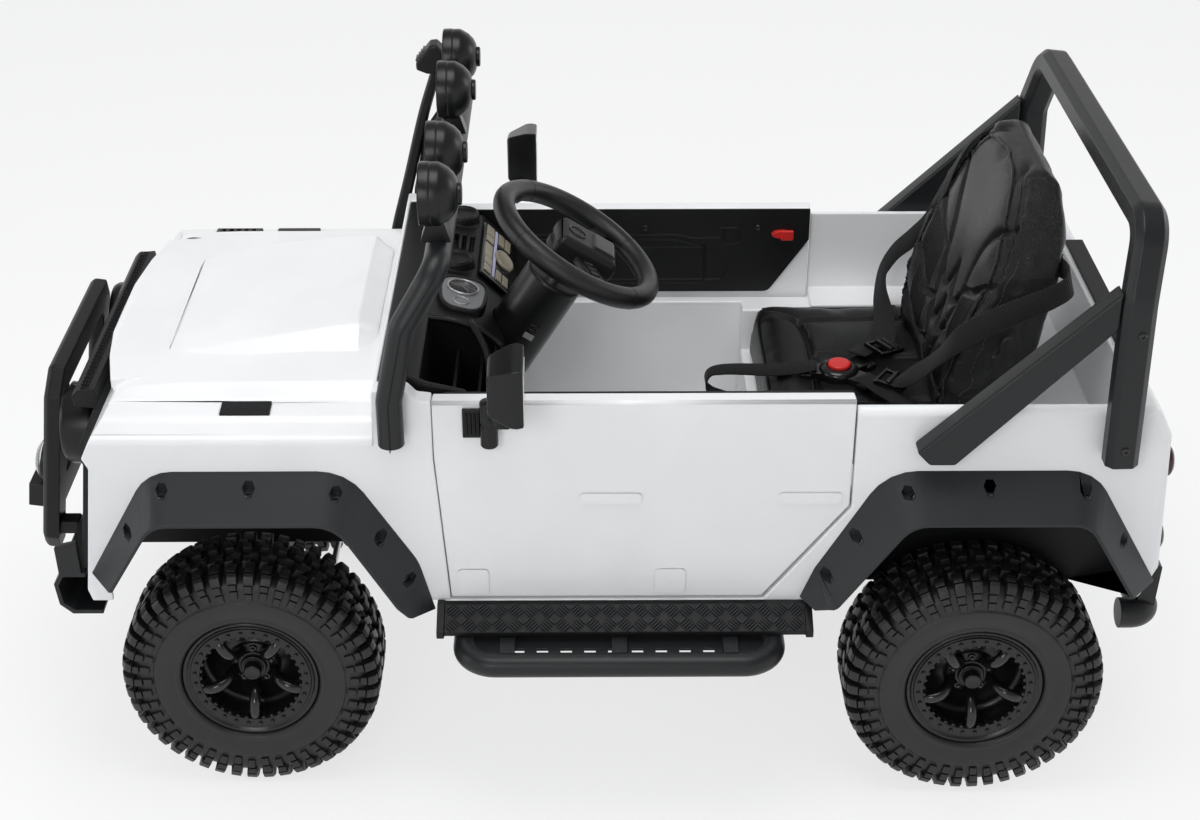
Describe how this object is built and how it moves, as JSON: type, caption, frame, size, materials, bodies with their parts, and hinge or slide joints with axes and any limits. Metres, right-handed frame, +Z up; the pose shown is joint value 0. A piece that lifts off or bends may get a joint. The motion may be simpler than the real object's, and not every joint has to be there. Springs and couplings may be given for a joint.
{
  "type": "children's ride-on electric toy 4x4",
  "caption": "Open ride-on toy off-roader with lugged wheels that roll and steer, opening doors, roll hoop, bull bar and a harnessed seat.",
  "frame": {"origin": "on the floor, under the middle of the whole length and width", "axes": "+X to the front of the vehicle, +Y to its left side, +Z up"},
  "size_m": [1.2511, 0.665, 0.709],
  "materials": {
    "white_shell": "white blow-moulded shell, smooth with a slight sheen",
    "black_shell": "black moulded plastic, fine grain",
    "grey_flare": "dark grey satin plastic",
    "black_tube": "satin black powder coat on round tube",
    "tyre": "black foam rubber with lugs",
    "rim": "dark grey satin spokes",
    "steel": "zinc-plated steel rod",
    "chassis": "black coated pressed steel",
    "gear_case": "dark plastic gear case",
    "battery": "sealed battery case",
    "seat": "black imitation leather, stitched and padded",
    "webbing": "black woven webbing",
    "buckle": "black buckle with a red button",
    "latch": "red latch slider",
    "dash": "black dash moulding",
    "dash_panel": "champagne gold panel with a pale strip",
    "lamp": "black lamp housing",
    "lens": "clear lens",
    "tail_lens": "dark lamp with a ribbed lens"
  },
  "bodies": {
    "body": {"arch_liners": "black_shell", "battery": "battery", "belly_plate": "chassis", "body_tub": "white_shell", "bull_bar": "black_shell", "column_cover": "dash", "dash_radio": "dash_panel", "dashboard": "dash", "driving_lamp_lenses": "lens", "driving_lamps": "lamp", "foot_pedal": "black_shell", "front_axle": "chassis", "front_bumper": "black_tube", "front_flares": "grey_flare", "front_shell": "white_shell", "front_subframe": "chassis", "gearboxes": "gear_case", "grille_panel": "black_shell", "harness_buckle": "buckle", "harness_straps": "webbing", "headlamps": "lamp", "hoop_braces": "black_tube", "rear_axle": "steel", "rear_bumper": "black_tube", "rear_flares": "grey_flare", "roll_hoop": "black_tube", "roof_lamp_lenses": "lens", "roof_lamps": "lamp", "seat_back": "seat", "seat_cushion": "seat", "snorkel": "black_shell", "step_plates": "black_shell", "step_tubes": "black_tube", "tail_lamps": "tail_lens", "tailgate_trim": "black_shell", "windscreen_frame": "black_tube", "wing_vents": "black_shell"},
    "steering": {"steering_wheel": "black_shell", "steering_shaft": "steel"},
    "tie_rod": {"tie_rod": "steel"},
    "knuckle_left": {"knuckle_left": "steel"},
    "knuckle_right": {"knuckle_right": "steel"},
    "door_left": {"door_left_skin": "white_shell", "door_left_panel": "black_shell", "door_left_latch": "latch", "mirror_left": "black_shell"},
    "wheel_front_left": {"tyre_front_left": "tyre", "rim_front_left": "rim"},
    "wheel_rear_left": {"tyre_rear_left": "tyre", "rim_rear_left": "rim"},
    "door_right": {"door_right_skin": "white_shell", "door_right_panel": "black_shell", "door_right_latch": "latch", "mirror_right": "black_shell"},
    "wheel_front_right": {"tyre_front_right": "tyre", "rim_front_right": "rim"},
    "wheel_rear_right": {"tyre_rear_right": "tyre", "rim_rear_right": "rim"}
  },
  "joints": [
    {"name": "door_left_hinge", "type": "hinge", "parent": "body", "child": "door_left", "pos_m": [0.149, 0.2503, 0.353], "axis": [0, 0, -1], "range_deg": [0, 60]},
    {"name": "knuckle_left_steer", "type": "hinge", "parent": "body", "child": "knuckle_left", "pos_m": [0.356, 0.185, 0.14], "axis": [0, 0, 1], "range_deg": [-22.5, 22.5]},
    {"name": "wheel_front_left_spin", "type": "hinge", "parent": "knuckle_left", "child": "wheel_front_left", "pos_m": [0.356, 0.226, 0.14], "axis": [0, 1, 0], "continuous": true},
    {"name": "wheel_rear_left_spin", "type": "hinge", "parent": "body", "child": "wheel_rear_left", "pos_m": [-0.423, 0.247, 0.14], "axis": [0, 1, 0], "continuous": true},
    {"name": "door_right_hinge", "type": "hinge", "parent": "body", "child": "door_right", "pos_m": [0.149, -0.2503, 0.353], "axis": [0, 0, 1], "range_deg": [0, 60]},
    {"name": "knuckle_right_steer", "type": "hinge", "parent": "body", "child": "knuckle_right", "pos_m": [0.356, -0.185, 0.14], "axis": [0, 0, 1], "range_deg": [-22.5, 22.5]},
    {"name": "wheel_front_right_spin", "type": "hinge", "parent": "knuckle_right", "child": "wheel_front_right", "pos_m": [0.356, -0.226, 0.14], "axis": [0, 1, 0], "continuous": true},
    {"name": "wheel_rear_right_spin", "type": "hinge", "parent": "body", "child": "wheel_rear_right", "pos_m": [-0.423, -0.247, 0.14], "axis": [0, 1, 0], "continuous": true},
    {"name": "steering_turn", "type": "hinge", "parent": "body", "child": "steering", "pos_m": [0.0025, 0, 0.532], "axis": [-0.5299, 0, 0.848], "range_deg": [-45, 45]},
    {"name": "tie_rod_slide", "type": "slide", "parent": "body", "child": "tie_rod", "axis": [0, 1, 0], "range_m": [-0.0235, 0.0235]}
  ],
  "couplings": [
    {"joint": "knuckle_left_steer", "follows": "steering_turn", "ratio": 0.5},
    {"joint": "knuckle_right_steer", "follows": "steering_turn", "ratio": 0.5},
    {"joint": "tie_rod_slide", "follows": "steering_turn", "m_per_rad": -0.0293}
  ]
}
